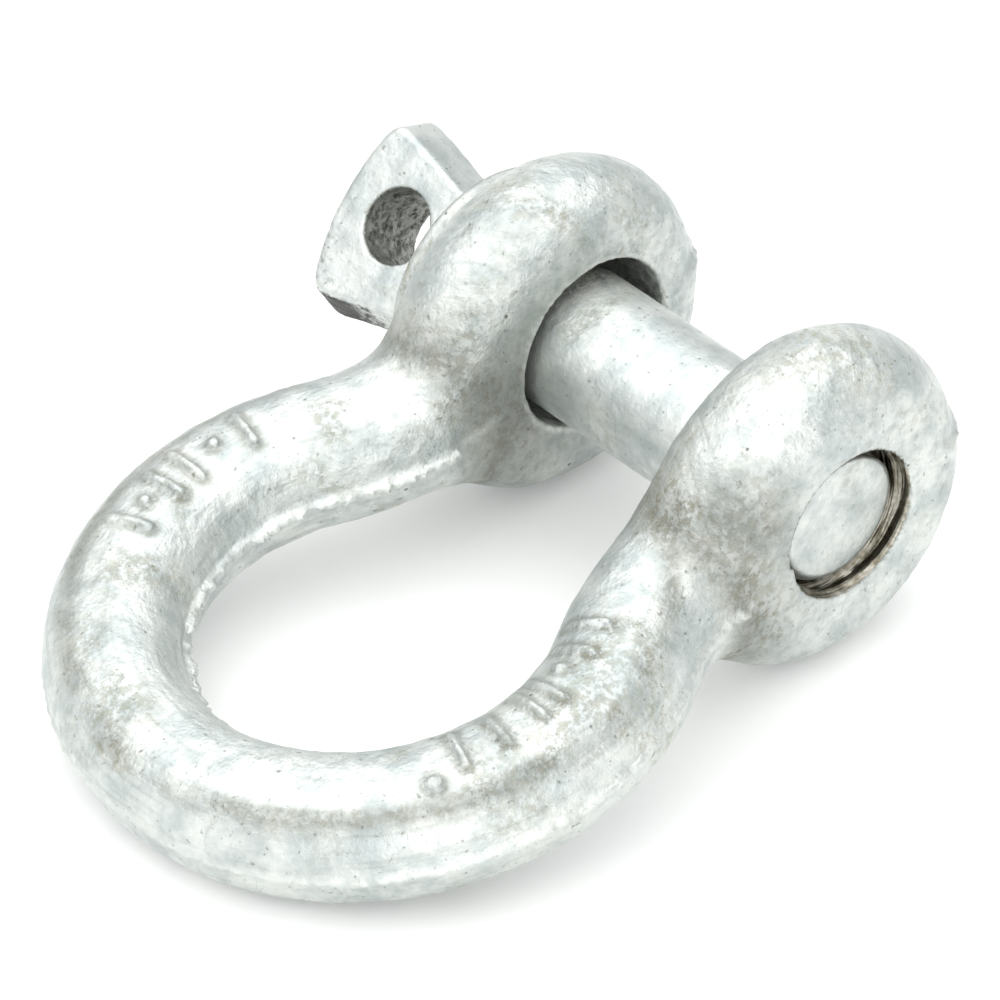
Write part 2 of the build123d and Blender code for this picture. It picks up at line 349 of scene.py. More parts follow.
bow = {
    "barDia": 9.8,
    "crownRadius": 18.3,
    "neckRadius": 19.5,
    "neckStart": 9.4,
    "neckInset": 0.6,
    "jawWidth": 17.4,
    "eyeDia": 25.4,
    "eyeThickness": 9.7,
    "eyeFlat": 8.65,  # radius of its flat faces
    "markStroke": 0.32,  # half the width of a raised mark
    "cell": 0.3,
}
eyeMiddle = (bow["jawWidth"] + bow["eyeThickness"]) / 2
armY = eyeMiddle - bow["neckInset"]
barRadius = bow["barDia"] / 2
reach = math.sqrt((bow["crownRadius"] + bow["neckRadius"]) ** 2 - (armY + bow["neckRadius"]) ** 2)
crownX = -(bow["neckStart"] + reach)
turn = math.acos((armY + bow["neckRadius"]) / (bow["crownRadius"] + bow["neckRadius"]))


def barPath(steps=48):
    half = []
    for i in range(steps + 1):  # half the crown, from its apex to where the neck's arc takes over
        a = math.pi - (math.pi / 2 + turn) * i / steps
        half.append((crownX + bow["crownRadius"] * math.cos(a), bow["crownRadius"] * math.sin(a)))
    for i in range(1, steps // 2 + 1):
        a = turn * (1 - i / (steps // 2))
        half.append((-bow["neckStart"] - bow["neckRadius"] * math.sin(a),
                     armY + bow["neckRadius"] * (1 - math.cos(a))))
    half.append((0.0, armY))
    return [(x, -y, 0.0) for x, y in reversed(half[1:])] + [(x, y, 0.0) for x, y in half]


# raised foundry marks on the upper side, plain bars and pips: angle round the crown from its
# middle, distance out from the bar's centreline, and length or radius
marks = {
    "bars": [(-69.0, -0.8, 3.2), (-79.0, -1.1, 3.3), (-89.0, -1.4, 3.3), (-95.0, -1.5, 3.3),
             (-109.0, -1.9, 3.0), (-118.0, -2.0, 3.0),
             (68.0, 0.3, 3.2), (81.0, 0.1, 3.3), (88.0, 0.1, 3.3), (104.0, 0.1, 3.0)],
    "pips": [(-61.5, 1.6, 0.3), (-102.0, -1.8, 0.15), (74.5, 0.2, 0.15), (96.0, 0.1, 0.15)],
}


def onCrown(degrees, outward):
    a = math.radians(180 - degrees)
    r = bow["crownRadius"] + outward
    rise = math.sqrt(max(barRadius ** 2 - outward ** 2, 1.0)) + 0.2
    return (crownX + r * math.cos(a), r * math.sin(a), rise)


def markLines():
    lines = []
    for degrees, outward, length in marks["bars"]:
        lines.append([onCrown(degrees, outward + length * (i / 6 - 0.5)) for i in range(7)])
    for degrees, outward, radius in marks["pips"]:
        step = math.degrees(radius / bow["crownRadius"])
        lines.append([onCrown(degrees + step * math.cos(a), outward + radius * math.sin(a))
                      for a in [i * math.pi / 4 for i in range(9)]])
    return lines


def guideMesh():
    lines = [barPath()] + markLines()
    points, edges, isMark = [], [], []
    for number, line in enumerate(lines):
        edges += [(len(points) + i, len(points) + i + 1) for i in range(len(line) - 1)]
        points += line
        isMark += [number > 0] * len(line)
    mesh = bpy.data.meshes.new("bowGuides")
    mesh.from_pydata(points, edges, [])
    mesh.attributes.new("isMark", "BOOLEAN", "POINT").data.foreach_set("value", isMark)
    return mesh


forging = {
    "Bar Radius": barRadius,
    "Squareness": 2.2,
    "Eye Radius": bow["eyeDia"] / 2,
    "Eye Flat": bow["eyeFlat"],
    "Eye Flat Outside": 7.8,
    "Eye Half Thickness": bow["eyeThickness"] / 2,
    "Eye Middle": eyeMiddle,
    "Blend": 5.0,
    "Blend At Eye": 1.0,
    "Neck Height": 7.6,
    "Neck Width": 3.2,
    "Jaw Half": bow["jawWidth"] / 2,
    "Die Shift": (-0.08, 0.22, 0.0),
    "Flash Inside": 0.6,
    "Flash Outside": 0.24,
    "Flash Width": 0.38,
    "Mark Stroke": bow["markStroke"],
    "Bore Radius": 6.7,
    "Bore Offset": 0.55,
    "Pitch": 25.4 / 14,
    "Crest Radius": 5.45,
    "Thread Depth": 0.75,
    "Mouth": 18.4,
    "Seat Radius": 10.2,
    "Mouth Radius": 5.65,
    "Facing Radius": 13.0,  # the cutter that faces the jaw
    "Shoulder Radius": bow["crownRadius"] + 3.0,  # where the crown is weathered
    "Smudge": (-9.0, -17.0, 6.0),
    "Lump Height": 0.16,
    "Pebble Height": 0.05,
    "Low": (-51.8, -24.0, -13.4),
    "High": (13.4, 24.0, 13.4),
    "Cells X": round(65.2 / bow["cell"]) + 1,
    "Cells Y": round(48.0 / bow["cell"]) + 1,
    "Cells Z": round(26.8 / bow["cell"]) + 1,
    "Tilt": (0.0, math.radians(-restTilt), 0.0),
    "Zinc": zinc,
    "Thread Steel": cutSteel,
}


def forgingTree():
    tree, given, out = newTree("forgedBow", forging)
    pos = addNode(tree, "GeometryNodeInputPosition")
    xyz = addNode(tree, "ShaderNodeSeparateXYZ", {0: pos}).outputs
    isMark = addNode(tree, "GeometryNodeInputNamedAttribute", {"Name": "isMark"}, data_type="BOOLEAN")
    guides = addNode(tree, "GeometryNodeSeparateGeometry",
                     {"Geometry": given["Geometry"], "Selection": isMark}, domain="POINT").outputs

    # the upper die sat a little to one side of the lower one
    isUpper = addNode(tree, "ShaderNodeMapRange",
                      {"Value": xyz["Z"], "From Min": -0.25, "From Max": 0.25, "To Min": -1.0, "To Max": 1.0})
    shift = addNode(tree, "ShaderNodeVectorMath",
                    {0: given["Die Shift"], "Scale": isUpper}, operation="SCALE")
    shifted = addNode(tree, "ShaderNodeVectorMath", {0: pos, 1: shift}, operation="SUBTRACT")
    sxyz = addNode(tree, "ShaderNodeSeparateXYZ", {0: shifted}).outputs

    near = addNode(tree, "GeometryNodeProximity", {0: guides["Inverted"], "Source Position": shifted},
                   target_element="EDGES")
    away = addNode(tree, "ShaderNodeVectorMath", {0: shifted, 1: near.outputs["Position"]},
                   operation="SUBTRACT")
    awayXyz = addNode(tree, "ShaderNodeSeparateXYZ", {0: away}).outputs
    nearXyz = addNode(tree, "ShaderNodeSeparateXYZ", {0: near.outputs["Position"]}).outputs

    # the bar, round in the crown, taller and narrower as it runs into an eye
    height = addNode(tree, "ShaderNodeMapRange",
                     {"Value": nearXyz["X"], "From Min": -15.0, "From Max": -2.0,
                      "To Min": given["Bar Radius"], "To Max": given["Neck Height"]},
                     interpolation_type="SMOOTHSTEP")
    width = addNode(tree, "ShaderNodeMapRange",
                    {"Value": nearXyz["X"], "From Min": -14.0, "From Max": -1.0,
                     "To Min": given["Bar Radius"], "To Max": given["Neck Width"]},
                    interpolation_type="SMOOTHSTEP")
    flatAway = addNode(tree, "ShaderNodeCombineXYZ", {"X": awayXyz["X"], "Y": awayXyz["Y"]})
    across = addNode(tree, "ShaderNodeVectorMath", {0: flatAway}, operation="LENGTH").outputs["Value"]
    upward = addNode(tree, "ShaderNodeMath", {0: awayXyz["Z"]}, operation="ABSOLUTE")
    ring = []
    for distance, half in ((across, width), (upward, height)):
        share = addNode(tree, "ShaderNodeMath", {0: distance, 1: half}, operation="DIVIDE")
        ring.append(addNode(tree, "ShaderNodeMath", {0: share, 1: given["Squareness"]}, operation="POWER"))
    total = addNode(tree, "ShaderNodeMath", {0: ring[0], 1: ring[1]}, operation="ADD")
    root = addNode(tree, "ShaderNodeMath", {0: 1.0, 1: given["Squareness"]}, operation="DIVIDE")
    bar = addNode(tree, "ShaderNodeMath", {0: total, 1: root}, operation="POWER")
    bar = addNode(tree, "ShaderNodeMath", {0: bar, 1: 1.0}, operation="SUBTRACT")
    bar = addNode(tree, "ShaderNodeMath", {0: bar, 1: width}, operation="MULTIPLY")

    # an eye, a disc with domed rims
    side = addNode(tree, "ShaderNodeMath", {0: sxyz["Y"]}, operation="ABSOLUTE")
    axial = addNode(tree, "ShaderNodeMath", {0: side, 1: given["Eye Middle"]}, operation="SUBTRACT")
    flatPos = addNode(tree, "ShaderNodeCombineXYZ", {"X": xyz["X"], "Y": xyz["Z"]})
    radial = addNode(tree, "ShaderNodeVectorMath", {0: flatPos}, operation="LENGTH").outputs["Value"]
    flatTo = addNode(tree, "ShaderNodeMapRange",
                     {"Value": axial, "From Min": -0.8, "From Max": 0.8, "To Min": given["Eye Flat"],
                      "To Max": given["Eye Flat Outside"]})
    past = addNode(tree, "ShaderNodeMath", {0: radial, 1: flatTo}, operation="SUBTRACT")
    past = addNode(tree, "ShaderNodeMath", {0: past, 1: 0.0}, operation="MAXIMUM")
    rim = addNode(tree, "ShaderNodeMath", {0: given["Eye Radius"], 1: flatTo}, operation="SUBTRACT")
    p = addNode(tree, "ShaderNodeMath", {0: past, 1: rim}, operation="DIVIDE")
    q = addNode(tree, "ShaderNodeMath", {0: axial, 1: given["Eye Half Thickness"]}, operation="DIVIDE")
    pq = addNode(tree, "ShaderNodeCombineXYZ", {"X": p, "Y": q})
    disc = addNode(tree, "ShaderNodeVectorMath", {0: pq}, operation="LENGTH").outputs["Value"]
    disc = addNode(tree, "ShaderNodeMath", {0: disc, 1: 1.0}, operation="SUBTRACT")
    disc = addNode(tree, "ShaderNodeMath", {0: disc, 1: rim}, operation="MULTIPLY")
    blend = addNode(tree, "ShaderNodeMapRange",
                    {"Value": xyz["X"], "From Min": -8.0, "From Max": -1.0, "To Min": given["Blend"],
                     "To Max": given["Blend At Eye"]}, interpolation_type="SMOOTHSTEP")
    body = addNode(tree, "ShaderNodeMath", {0: bar, 1: disc, 2: blend}, operation="SMOOTH_MIN")

    # the trimmed flash, a ragged rib where the two dies met
    ragged = addNode(tree, "ShaderNodeTexNoise", {"Vector": pos, "Scale": 1.6, "Detail": 1.0})
    ragged = addNode(tree, "ShaderNodeMapRange",
                     {"Value": ragged, "From Min": 0.36, "From Max": 0.64, "To Min": 0.35,
                      "To Max": 1.35})
    share = addNode(tree, "ShaderNodeMath", {0: xyz["Z"], 1: given["Flash Width"]}, operation="DIVIDE")
    square = addNode(tree, "ShaderNodeMath", {0: share, 1: share}, operation="MULTIPLY")
    negative = addNode(tree, "ShaderNodeMath", {0: square, 1: -1.0}, operation="MULTIPLY")
    rib = addNode(tree, "ShaderNodeMath", {0: negative}, operation="EXPONENT")
    nearby = addNode(tree, "ShaderNodeVectorMath", {0: near.outputs["Position"], 1: (crownX, 0.0, 0.0)},
                     operation="SUBTRACT")
    facingIn = addNode(tree, "ShaderNodeVectorMath", {0: nearby, 1: away}, operation="DOT_PRODUCT")
    innerFlash = addNode(tree, "ShaderNodeMapRange",
                         {"Value": nearXyz["X"], "From Min": -9.0, "From Max": -15.0,
                          "To Max": given["Flash Inside"]})
    standing = addNode(tree, "ShaderNodeMapRange",
                       {"Value": facingIn.outputs["Value"], "From Min": -20.0, "From Max": 20.0,
                        "To Min": innerFlash, "To Max": given["Flash Outside"]})
    ribHeight = addNode(tree, "ShaderNodeMath", {0: ragged, 1: standing}, operation="MULTIPLY")
    proud = addNode(tree, "ShaderNodeMath", {0: rib, 1: ribHeight}, operation="MULTIPLY")
    body = addNode(tree, "ShaderNodeMath", {0: body, 1: proud}, operation="SUBTRACT")

    # raised marks
    toMark = addNode(tree, "GeometryNodeProximity", {0: guides["Selection"], "Source Position": pos},
                     target_element="EDGES").outputs["Distance"]
    stroke = addNode(tree, "ShaderNodeMath", {0: toMark, 1: given["Mark Stroke"]}, operation="SUBTRACT")
    body = addNode(tree, "ShaderNodeMath", {0: body, 1: stroke, 2: 0.15}, operation="SMOOTH_MIN")

    # faced flat inside the jaw
    flatSide = addNode(tree, "ShaderNodeMath", {0: xyz["Y"]}, operation="ABSOLUTE")
    inside = addNode(tree, "ShaderNodeMath", {0: given["Jaw Half"], 1: flatSide}, operation="SUBTRACT")
    beyond = addNode(tree, "ShaderNodeMath", {0: given["Facing Radius"], 1: radial}, operation="SUBTRACT")
    facing = addNode(tree, "ShaderNodeMath", {0: inside, 1: beyond}, operation="MINIMUM")
    body = addNode(tree, "ShaderNodeMath", {0: body, 1: facing, 2: 0.8}, operation="SMOOTH_MAX")

    # and flat outside, as far as the collar and tip need
    outward = addNode(tree, "ShaderNodeMath", {0: flatSide, 1: given["Mouth"]}, operation="SUBTRACT")
    seat = addNode(tree, "ShaderNodeMath", {0: given["Seat Radius"], 1: radial}, operation="SUBTRACT")
    seat = addNode(tree, "ShaderNodeMath", {0: outward, 1: seat}, operation="MINIMUM")
    body = addNode(tree, "ShaderNodeMath", {0: body, 1: seat, 2: 0.6}, operation="SMOOTH_MAX")

    # plain bore on the head's side, tapped bore on the other
    moved = addNode(tree, "ShaderNodeMath", {0: xyz["X"], 1: given["Bore Offset"]}, operation="SUBTRACT")
    moved = addNode(tree, "ShaderNodeCombineXYZ", {"X": moved, "Y": xyz["Z"]})
    boreRadial = addNode(tree, "ShaderNodeVectorMath", {0: moved}, operation="LENGTH").outputs["Value"]
    plain = addNode(tree, "ShaderNodeMath", {0: given["Bore Radius"], 1: boreRadial}, operation="SUBTRACT")
    vee = threadWave(tree, given, xyz)
    deep = addNode(tree, "ShaderNodeMath", {0: vee, 1: 2.0}, operation="MULTIPLY")
    deep = addNode(tree, "ShaderNodeMath",
                   {0: deep, 1: given["Thread Depth"], 2: given["Crest Radius"]}, operation="MULTIPLY_ADD")
    # its thread fades in from a clean round mouth
    inset = addNode(tree, "ShaderNodeMath", {0: given["Mouth"], 1: flatSide}, operation="SUBTRACT")
    opening = addNode(tree, "ShaderNodeMath", {0: inset, 1: 0.5, 2: given["Mouth Radius"]},
                      operation="MULTIPLY_ADD")
    deep = addNode(tree, "ShaderNodeMath", {0: deep, 1: opening}, operation="MINIMUM")
    mouth = addNode(tree, "ShaderNodeMath", {0: given["Mouth Radius"], 1: inset}, operation="SUBTRACT")
    deep = addNode(tree, "ShaderNodeMath", {0: deep, 1: mouth}, operation="MAXIMUM")
    tapped = addNode(tree, "ShaderNodeMath", {0: deep, 1: radial}, operation="SUBTRACT")
    isPlain = addNode(tree, "FunctionNodeCompare", {0: xyz["Y"], 1: 0.0}, operation="GREATER_THAN")
    bore = addNode(tree, "GeometryNodeSwitch", {0: isPlain, 1: tapped, 2: plain}, input_type="FLOAT")
    body = addNode(tree, "ShaderNodeMath", {0: body, 1: bore, 2: 0.3}, operation="SMOOTH_MAX")

    skin = skinAround(tree, given, body)

    # lumps and pebbles of zinc, none of them in a bore
    lump = addNode(tree, "ShaderNodeTexNoise", {"Vector": pos, "Scale": 0.32, "Detail": 2.0})
    pebble = addNode(tree, "ShaderNodeTexNoise", {"Vector": pos, "Scale": 1.1, "Detail": 1.0})
    rise = addNode(tree, "ShaderNodeMath", {0: lump, 1: 0.5}, operation="SUBTRACT")
    rise = addNode(tree, "ShaderNodeMath", {0: rise, 1: given["Lump Height"]}, operation="MULTIPLY")
    small = addNode(tree, "ShaderNodeMath", {0: pebble, 1: 0.5}, operation="SUBTRACT")
    rise = addNode(tree, "ShaderNodeMath", {0: small, 1: given["Pebble Height"], 2: rise},
                   operation="MULTIPLY_ADD")
    clearOfBore = addNode(tree, "ShaderNodeMapRange", {"Value": bore, "From Min": -0.1, "From Max": -0.6})
    rise = addNode(tree, "ShaderNodeMath", {0: rise, 1: clearOfBore}, operation="MULTIPLY")
    rise = addNode(tree, "ShaderNodeMath", {0: rise, 1: 2.0}, operation="MULTIPLY")

    # painted highlight on the flash and the plain bore's lip, painted shade on the bore walls, and darker
    # where the bar runs into an eye and round the foot of each mark
    onRim = addNode(tree, "ShaderNodeMapRange", {"Value": boreRadial, "From Min": 8.0, "From Max": 12.0})
    flashAndLipHighlight = addNode(tree, "ShaderNodeMath", {0: rib, 1: onRim}, operation="MULTIPLY")
    flashAndLipHighlight = addNode(tree, "ShaderNodeMath", {0: flashAndLipHighlight, 1: 0.6}, operation="MULTIPLY")
    flashAndLipHighlight = addNode(tree, "ShaderNodeMath", {0: flashAndLipHighlight, 1: ragged},
                        operation="MULTIPLY", use_clamp=True)
    between = addNode(tree, "ShaderNodeMath", {0: bar, 1: disc}, operation="SUBTRACT")
    between = addNode(tree, "ShaderNodeMath", {0: between}, operation="ABSOLUTE")
    crease = addNode(tree, "ShaderNodeMapRange", {"Value": between, "From Min": 2.6, "From Max": 0.0})
    roundMark = addNode(tree, "ShaderNodeMapRange",
                        {"Value": toMark, "From Min": 1.1, "From Max": 0.5, "To Max": 0.8})
    onMark = addNode(tree, "ShaderNodeMapRange", {"Value": toMark, "From Min": 0.2, "From Max": 0.5})
    roundMarkFoot = addNode(tree, "ShaderNodeMath", {0: roundMark, 1: onMark}, operation="MULTIPLY")
    shadeAndDirt = addNode(tree, "ShaderNodeMath", {0: crease, 1: roundMarkFoot}, operation="MAXIMUM")
    # painted shade on the bore walls
    inBore = addNode(tree, "ShaderNodeMapRange", {"Value": bore, "From Min": -0.12, "From Max": -0.02})
    shadeAndDirt = addNode(tree, "ShaderNodeMath", {0: shadeAndDirt, 1: inBore}, operation="MAXIMUM")
    # painted highlight on the plain bore's lip
    lip = addNode(tree, "ShaderNodeMapRange",
                  {"Value": bore, "From Min": -0.6, "From Max": -0.35, "To Max": 0.8})
    lip = addNode(tree, "ShaderNodeMath", {0: lip, 1: ragged}, operation="MULTIPLY", use_clamp=True)
    lip = addNode(tree, "ShaderNodeMath", {0: lip, 1: isPlain}, operation="MULTIPLY")
    flashAndLipHighlight = addNode(tree, "ShaderNodeMath", {0: flashAndLipHighlight, 1: lip}, operation="MAXIMUM")
    # the tapped bore is cut after the zinc, and is left bare
    narrow = addNode(tree, "FunctionNodeCompare", {0: bore, 1: -0.3}, operation="GREATER_THAN")
    deepEnough = addNode(tree, "FunctionNodeCompare", {0: inset, 1: 0.12}, operation="GREATER_THAN")
    narrow = addNode(tree, "FunctionNodeBooleanMath", {0: narrow, 1: deepEnough}, operation="AND")
    bare = addNode(tree, "FunctionNodeBooleanMath", {0: narrow, 1: isPlain}, operation="NIMPLY")
    # and weathered along the crown's outer shoulder
    fromCentre = addNode(tree, "ShaderNodeVectorMath", {0: pos, 1: (crownX, 0.0, 0.0)}, operation="SUBTRACT")
    fromXyz = addNode(tree, "ShaderNodeSeparateXYZ", {0: fromCentre}).outputs
    fromCentre = addNode(tree, "ShaderNodeCombineXYZ", {"X": fromXyz["X"], "Y": fromXyz["Y"]})
    outwards = addNode(tree, "ShaderNodeVectorMath", {0: fromCentre}, operation="LENGTH").outputs["Value"]
    ahead = addNode(tree, "ShaderNodeMath", {0: fromXyz["X"], 1: -1.0}, operation="MULTIPLY")
    wayRound = addNode(tree, "ShaderNodeMath", {0: fromXyz["Y"], 1: ahead}, operation="ARCTAN2")
    wayRound = addNode(tree, "ShaderNodeMath", {0: wayRound, 1: bow["crownRadius"]}, operation="MULTIPLY")
    alongBar = addNode(tree, "ShaderNodeCombineXYZ", {"X": wayRound, "Y": outwards, "Z": xyz["Z"]})
    outwards = addNode(tree, "ShaderNodeMath", {0: outwards, 1: given["Shoulder Radius"]},
                       operation="SUBTRACT")
    outwards = addNode(tree, "ShaderNodeMath", {0: outwards}, operation="ABSOLUTE")
    shoulder = addNode(tree, "ShaderNodeMapRange",
                       {"Value": outwards, "From Min": 1.1, "From Max": 0.3, "To Max": 0.75})
    aloft = addNode(tree, "FunctionNodeCompare", {0: xyz["Z"], 1: 1.0}, operation="GREATER_THAN")
    shoulder = addNode(tree, "ShaderNodeMath", {0: shoulder, 1: aloft}, operation="MULTIPLY")
    drift = addNode(tree, "ShaderNodeTexNoise", {"Vector": pos, "Scale": 0.11, "Detail": 2.0})
    drift = addNode(tree, "ShaderNodeMapRange", {"Value": drift, "From Min": 0.4, "From Max": 0.55})
    shoulder = addNode(tree, "ShaderNodeMath", {0: shoulder, 1: drift}, operation="MULTIPLY")
    shadeAndDirt = addNode(tree, "ShaderNodeMath", {0: shadeAndDirt, 1: shoulder}, operation="MAXIMUM")
    fromSmudge = addNode(tree, "ShaderNodeVectorMath", {0: pos, 1: given["Smudge"]}, operation="DISTANCE")
    smudge = addNode(tree, "ShaderNodeMapRange",
                     {"Value": fromSmudge.outputs["Value"], "From Min": 6.0, "From Max": 2.0, "To Max": 0.85})
    shadeAndDirt = addNode(tree, "ShaderNodeMath", {0: shadeAndDirt, 1: smudge}, operation="MAXIMUM")

    fields = {"flashHighlight": flashAndLipHighlight, "shadeAndDirt": shadeAndDirt, "bare": bare, "alongBar": alongBar}
    finishTree(tree, given, out, skin, rise, fields)
    return tree


bowPiece = runTree(forgingTree(), forging, guideMesh(), "bow_forging")
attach(bowPiece, "bow")
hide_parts("bow")
print("bow forging:", len(bowPiece.data.polygons), "faces")

# screw pin

pin = {
    "Shank Radius": 5.45,
    "Neck Radius": 5.2,
    "Shank Start": -8.3,
    "Neck Start": 11.0,
    "Groove Start": -9.2,
    "Tip": -17.0,
    "Tip Chamfer": 0.6,
    "Thread Radius": 5.39,
    "Bare Thread": 0.8,  # from the tip to where the zinc ends
    "Root Radius": 4.64,
    "Pitch": 25.4 / 14,
    "Collar Radius": 9.15,
    "Collar Seat": 18.45,
    "Collar Top": 20.05,
    "Tab Start": 19.8,
    "Tab End": 33.05,
    "Tab Root Half": 5.1,
    "Tab Offset": 0.5,  # the dies left the tab this far off the pin's axis
    "Tab Flare": 0.235,  # half width gained in each millimetre from the collar
    "Tab Draft": 0.33,
    "End Draft": 0.19,
    "Tab Half Thickness": 3.35,
    "End Radius": 18.5,
    "Tab Corner": 2.2,
    "Tab Edge": 0.55,
    "Tab Axis": (math.cos(math.radians(129.4)), 0.0, math.sin(math.radians(129.4))),
    "Tab Across": (-math.sin(math.radians(129.4)), 0.0, math.cos(math.radians(129.4))),
    "Hole Radius": 2.85,
    "Hole Place": 26.75,
    "Soot From": 28.5,
    "Soot To": 36.5,
    "Lump Height": 0.10,
    "Low": (-9.8, -17.8, -9.8),
    "High": (9.8, 33.8, 9.8),
    "Cells X": 99,
    "Cells Y": 259,
    "Cells Z": 99,
    "Tilt": (0.0, math.radians(-restTilt), 0.0),
    "Zinc": pinZinc,
    "Thread Steel": cutSteel,
}


def pinTree():
    tree, given, out = newTree("forgedScrewPin", pin)
    pos = addNode(tree, "GeometryNodeInputPosition")
    xyz = addNode(tree, "ShaderNodeSeparateXYZ", {0: pos}).outputs
    flatPos = addNode(tree, "ShaderNodeCombineXYZ", {"X": xyz["X"], "Y": xyz["Z"]})
    radial = addNode(tree, "ShaderNodeVectorMath", {0: flatPos}, operation="LENGTH").outputs["Value"]

    def within(low, high, body, softness):
        below = addNode(tree, "ShaderNodeMath", {0: low, 1: xyz["Y"]}, operation="SUBTRACT")
        above = addNode(tree, "ShaderNodeMath", {0: xyz["Y"], 1: high}, operation="SUBTRACT")
        ends = addNode(tree, "ShaderNodeMath", {0: below, 1: above}, operation="MAXIMUM")
        return addNode(tree, "ShaderNodeMath", {0: body, 1: ends, 2: softness}, operation="SMOOTH_MAX")

    def roundBar(radius, low, high, softness=0.1):
        wall = addNode(tree, "ShaderNodeMath", {0: radial, 1: radius}, operation="SUBTRACT")
        return within(low, high, wall, softness)

    # shank, its thinner neck and the core under the thread
    shank = roundBar(given["Shank Radius"], given["Shank Start"], given["Neck Start"], 0.25)
    neck = roundBar(given["Neck Radius"], 0.0, 19.0)
    core = roundBar(given["Root Radius"], given["Tip"], 0.0, 0.4)
    body = addNode(tree, "ShaderNodeMath", {0: shank, 1: neck}, operation="MINIMUM")
    body = addNode(tree, "ShaderNodeMath", {0: body, 1: core}, operation="MINIMUM")

    # the thread, fading out at the tip's chamfer
    vee = threadWave(tree, given, xyz)
    crest = addNode(tree, "ShaderNodeMapRange",
                    {"Value": vee, "From Min": 0.06, "From Max": 0.44, "To Min": given["Root Radius"],
                     "To Max": given["Thread Radius"]})
    taper = addNode(tree, "ShaderNodeMath", {0: xyz["Y"], 1: given["Tip"]}, operation="SUBTRACT")
    taper = addNode(tree, "ShaderNodeMath", {0: taper, 1: given["Thread Radius"]}, operation="ADD")
    taper = addNode(tree, "ShaderNodeMath", {0: taper, 1: given["Tip Chamfer"]}, operation="SUBTRACT")
    crest = addNode(tree, "ShaderNodeMath", {0: crest, 1: taper}, operation="MINIMUM")
    thread = roundBar(crest, given["Tip"], given["Groove Start"], 0.15)
    body = addNode(tree, "ShaderNodeMath", {0: body, 1: thread}, operation="MINIMUM")

    # the collar
    collar = roundBar(given["Collar Radius"], given["Collar Seat"], given["Collar Top"], 0.65)
    body = addNode(tree, "ShaderNodeMath", {0: body, 1: collar}, operation="MINIMUM")

    # the tab, flared and drafted, with an arched end
    signedThrough = addNode(tree, "ShaderNodeVectorMath", {0: pos, 1: given["Tab Axis"]},
                            operation="DOT_PRODUCT").outputs["Value"]
    through = addNode(tree, "ShaderNodeMath", {0: signedThrough}, operation="ABSOLUTE")
    across = addNode(tree, "ShaderNodeVectorMath", {0: pos, 1: given["Tab Across"]}, operation="DOT_PRODUCT")
    across = across.outputs["Value"]
    offCentre = addNode(tree, "ShaderNodeMath", {0: across, 1: given["Tab Offset"]}, operation="SUBTRACT")
    wide = addNode(tree, "ShaderNodeMath", {0: offCentre}, operation="ABSOLUTE")
    drafted = addNode(tree, "ShaderNodeMath", {0: through, 1: given["Tab Draft"]}, operation="MULTIPLY")
    grown = addNode(tree, "ShaderNodeMath", {0: xyz["Y"], 1: given["Collar Seat"]}, operation="SUBTRACT")
    half = addNode(tree, "ShaderNodeMath", {0: grown, 1: given["Tab Flare"], 2: given["Tab Root Half"]},
                   operation="MULTIPLY_ADD")
    half = addNode(tree, "ShaderNodeMath", {0: half, 1: drafted}, operation="SUBTRACT")
    sides = addNode(tree, "ShaderNodeMath", {0: wide, 1: half}, operation="SUBTRACT")
    endCentre = addNode(tree, "ShaderNodeMath", {0: given["Tab End"], 1: given["End Radius"]},
                        operation="SUBTRACT")
    endRise = addNode(tree, "ShaderNodeMath", {0: xyz["Y"], 1: endCentre}, operation="SUBTRACT")
    endFlat = addNode(tree, "ShaderNodeCombineXYZ", {"X": across, "Y": endRise})
    endAway = addNode(tree, "ShaderNodeVectorMath", {0: endFlat}, operation="LENGTH").outputs["Value"]
    endFace = addNode(tree, "ShaderNodeMath", {0: endAway, 1: given["End Radius"]}, operation="SUBTRACT")
    endFace = addNode(tree, "ShaderNodeMath", {0: through, 1: given["End Draft"], 2: endFace},
                      operation="MULTIPLY_ADD")
    tab = addNode(tree, "ShaderNodeMath", {0: sides, 1: endFace, 2: given["Tab Corner"]},
                  operation="SMOOTH_MAX")
    faces = addNode(tree, "ShaderNodeMath", {0: through, 1: given["Tab Half Thickness"]},
                    operation="SUBTRACT")
    tab = addNode(tree, "ShaderNodeMath", {0: tab, 1: faces, 2: given["Tab Edge"]}, operation="SMOOTH_MAX")
    tab = within(given["Tab Start"], 40.0, tab, 0.0)
    body = addNode(tree, "ShaderNodeMath", {0: body, 1: tab, 2: 1.2}, operation="SMOOTH_MIN")

    # its hole
    holeRise = addNode(tree, "ShaderNodeMath", {0: xyz["Y"], 1: given["Hole Place"]}, operation="SUBTRACT")
    holeFlat = addNode(tree, "ShaderNodeCombineXYZ", {"X": across, "Y": holeRise})
    holeAway = addNode(tree, "ShaderNodeVectorMath", {0: holeFlat}, operation="LENGTH").outputs["Value"]
    hole = addNode(tree, "ShaderNodeMath", {0: given["Hole Radius"], 1: holeAway}, operation="SUBTRACT")
    body = addNode(tree, "ShaderNodeMath", {0: body, 1: hole, 2: 0.25}, operation="SMOOTH_MAX")

    skin = skinAround(tree, given, body)

    # lumps of zinc on the tab only
    lump = addNode(tree, "ShaderNodeTexNoise", {"Vector": pos, "Scale": 0.45, "Detail": 2.0})
    onTab = addNode(tree, "ShaderNodeMapRange",
                    {"Value": xyz["Y"], "From Min": 20.2, "From Max": 22.0, "To Max": given["Lump Height"]})
    rise = addNode(tree, "ShaderNodeMath", {0: lump, 1: 0.6}, operation="SUBTRACT")
    rise = addNode(tree, "ShaderNodeMath", {0: rise, 1: onTab}, operation="MULTIPLY")
    rise = addNode(tree, "ShaderNodeMath", {0: rise, 1: 2.0}, operation="MULTIPLY")

